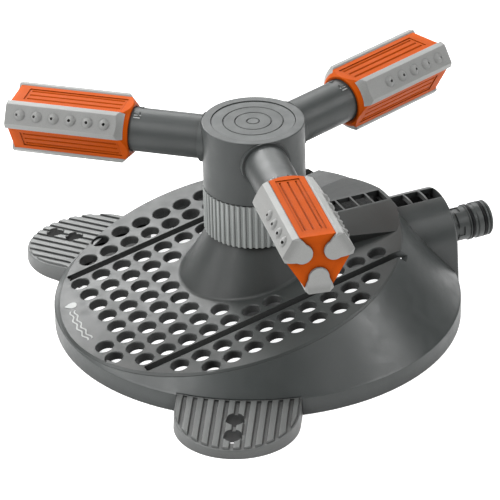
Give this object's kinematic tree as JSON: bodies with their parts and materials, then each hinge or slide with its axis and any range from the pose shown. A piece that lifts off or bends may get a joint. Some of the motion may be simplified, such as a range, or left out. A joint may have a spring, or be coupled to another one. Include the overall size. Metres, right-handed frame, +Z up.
{
  "type": "rotary lawn sprinkler",
  "caption": "Round-base lawn sprinkler: a hose-fed spinning head with radial arms, each carrying a turnable nozzle head that offers a choice of jet strips.",
  "frame": {"origin": "where the column axis meets the ground, under the middle of the round base", "axes": "+Z up along the column and the rotor's axis; +X along the hose inlet, pointing out of the base; +Y to the left of the inlet"},
  "size_m": [0.2355, 0.25, 0.1105],
  "materials": {
    "base_grey": "fine moulded texture",
    "deck_grey": "fine moulded texture",
    "foot_grey": "fine moulded texture",
    "ring_grey": "satin",
    "head_grey": "satin",
    "channel_grey": "satin",
    "core_orange": "satin",
    "jet_grey": "satin soft plastic",
    "seal_black": "smooth",
    "bearing_white": "smooth",
    "steel": "plain"
  },
  "bodies": {
    "base": {"base_shell": "base_grey", "deck_cover": "deck_grey", "anchor_foot_left": "foot_grey", "anchor_foot_right": "foot_grey", "inlet_channel": "channel_grey", "channel_screws": "steel", "riser_spindle": "channel_grey", "spindle_seal": "seal_black", "thrust_washer_lower": "bearing_white", "thrust_washer_upper": "bearing_white", "spindle_clip": "steel", "hose_nipple": "head_grey", "nipple_o_ring_rear": "seal_black", "nipple_o_ring_front": "seal_black", "inlet_filter": "bearing_white"},
    "ring": {"range_ring": "ring_grey"},
    "rotor": {"rotor_housing": "head_grey", "rotor_cap": "head_grey", "bearing_bush": "bearing_white", "arm_tube_left": "head_grey", "arm_tube_right": "head_grey", "arm_tube_front": "head_grey", "arm_seal_left": "seal_black", "arm_seal_right": "seal_black", "arm_seal_front": "seal_black", "arm_clip_left": "steel", "arm_clip_right": "steel", "arm_clip_front": "steel"},
    "nozzle_left": {"nozzle_core_left": "core_orange", "jet_strip_four_left": "jet_grey", "jet_strip_five_left": "jet_grey", "jet_strip_six_left": "jet_grey"},
    "nozzle_right": {"nozzle_core_right": "core_orange", "jet_strip_four_right": "jet_grey", "jet_strip_five_right": "jet_grey", "jet_strip_six_right": "jet_grey"},
    "nozzle_front": {"nozzle_core_front": "core_orange", "jet_strip_four_front": "jet_grey", "jet_strip_five_front": "jet_grey", "jet_strip_six_front": "jet_grey"}
  },
  "joints": [
    {"name": "rotor_spin", "type": "hinge", "parent": "base", "child": "rotor", "pos_m": [0, 0, 0.0968], "axis": [0, 0, 1], "continuous": true},
    {"name": "ring_turn", "type": "hinge", "parent": "base", "child": "ring", "pos_m": [0, 0, 0.062], "axis": [0, 0, 1], "range_deg": [0, 90]},
    {"name": "nozzle_turn_left", "type": "hinge", "parent": "rotor", "child": "nozzle_left", "pos_m": [-0.07006, 0.05963, 0.0968], "axis": [-0.7615, 0.6481, 0], "continuous": true},
    {"name": "nozzle_turn_right", "type": "hinge", "parent": "rotor", "child": "nozzle_right", "pos_m": [0.08667, 0.03086, 0.0968], "axis": [0.9421, 0.3355, 0], "continuous": true},
    {"name": "nozzle_turn_front", "type": "hinge", "parent": "rotor", "child": "nozzle_front", "pos_m": [-0.01661, -0.09049, 0.0968], "axis": [-0.1805, -0.9836, 0], "continuous": true}
  ]
}
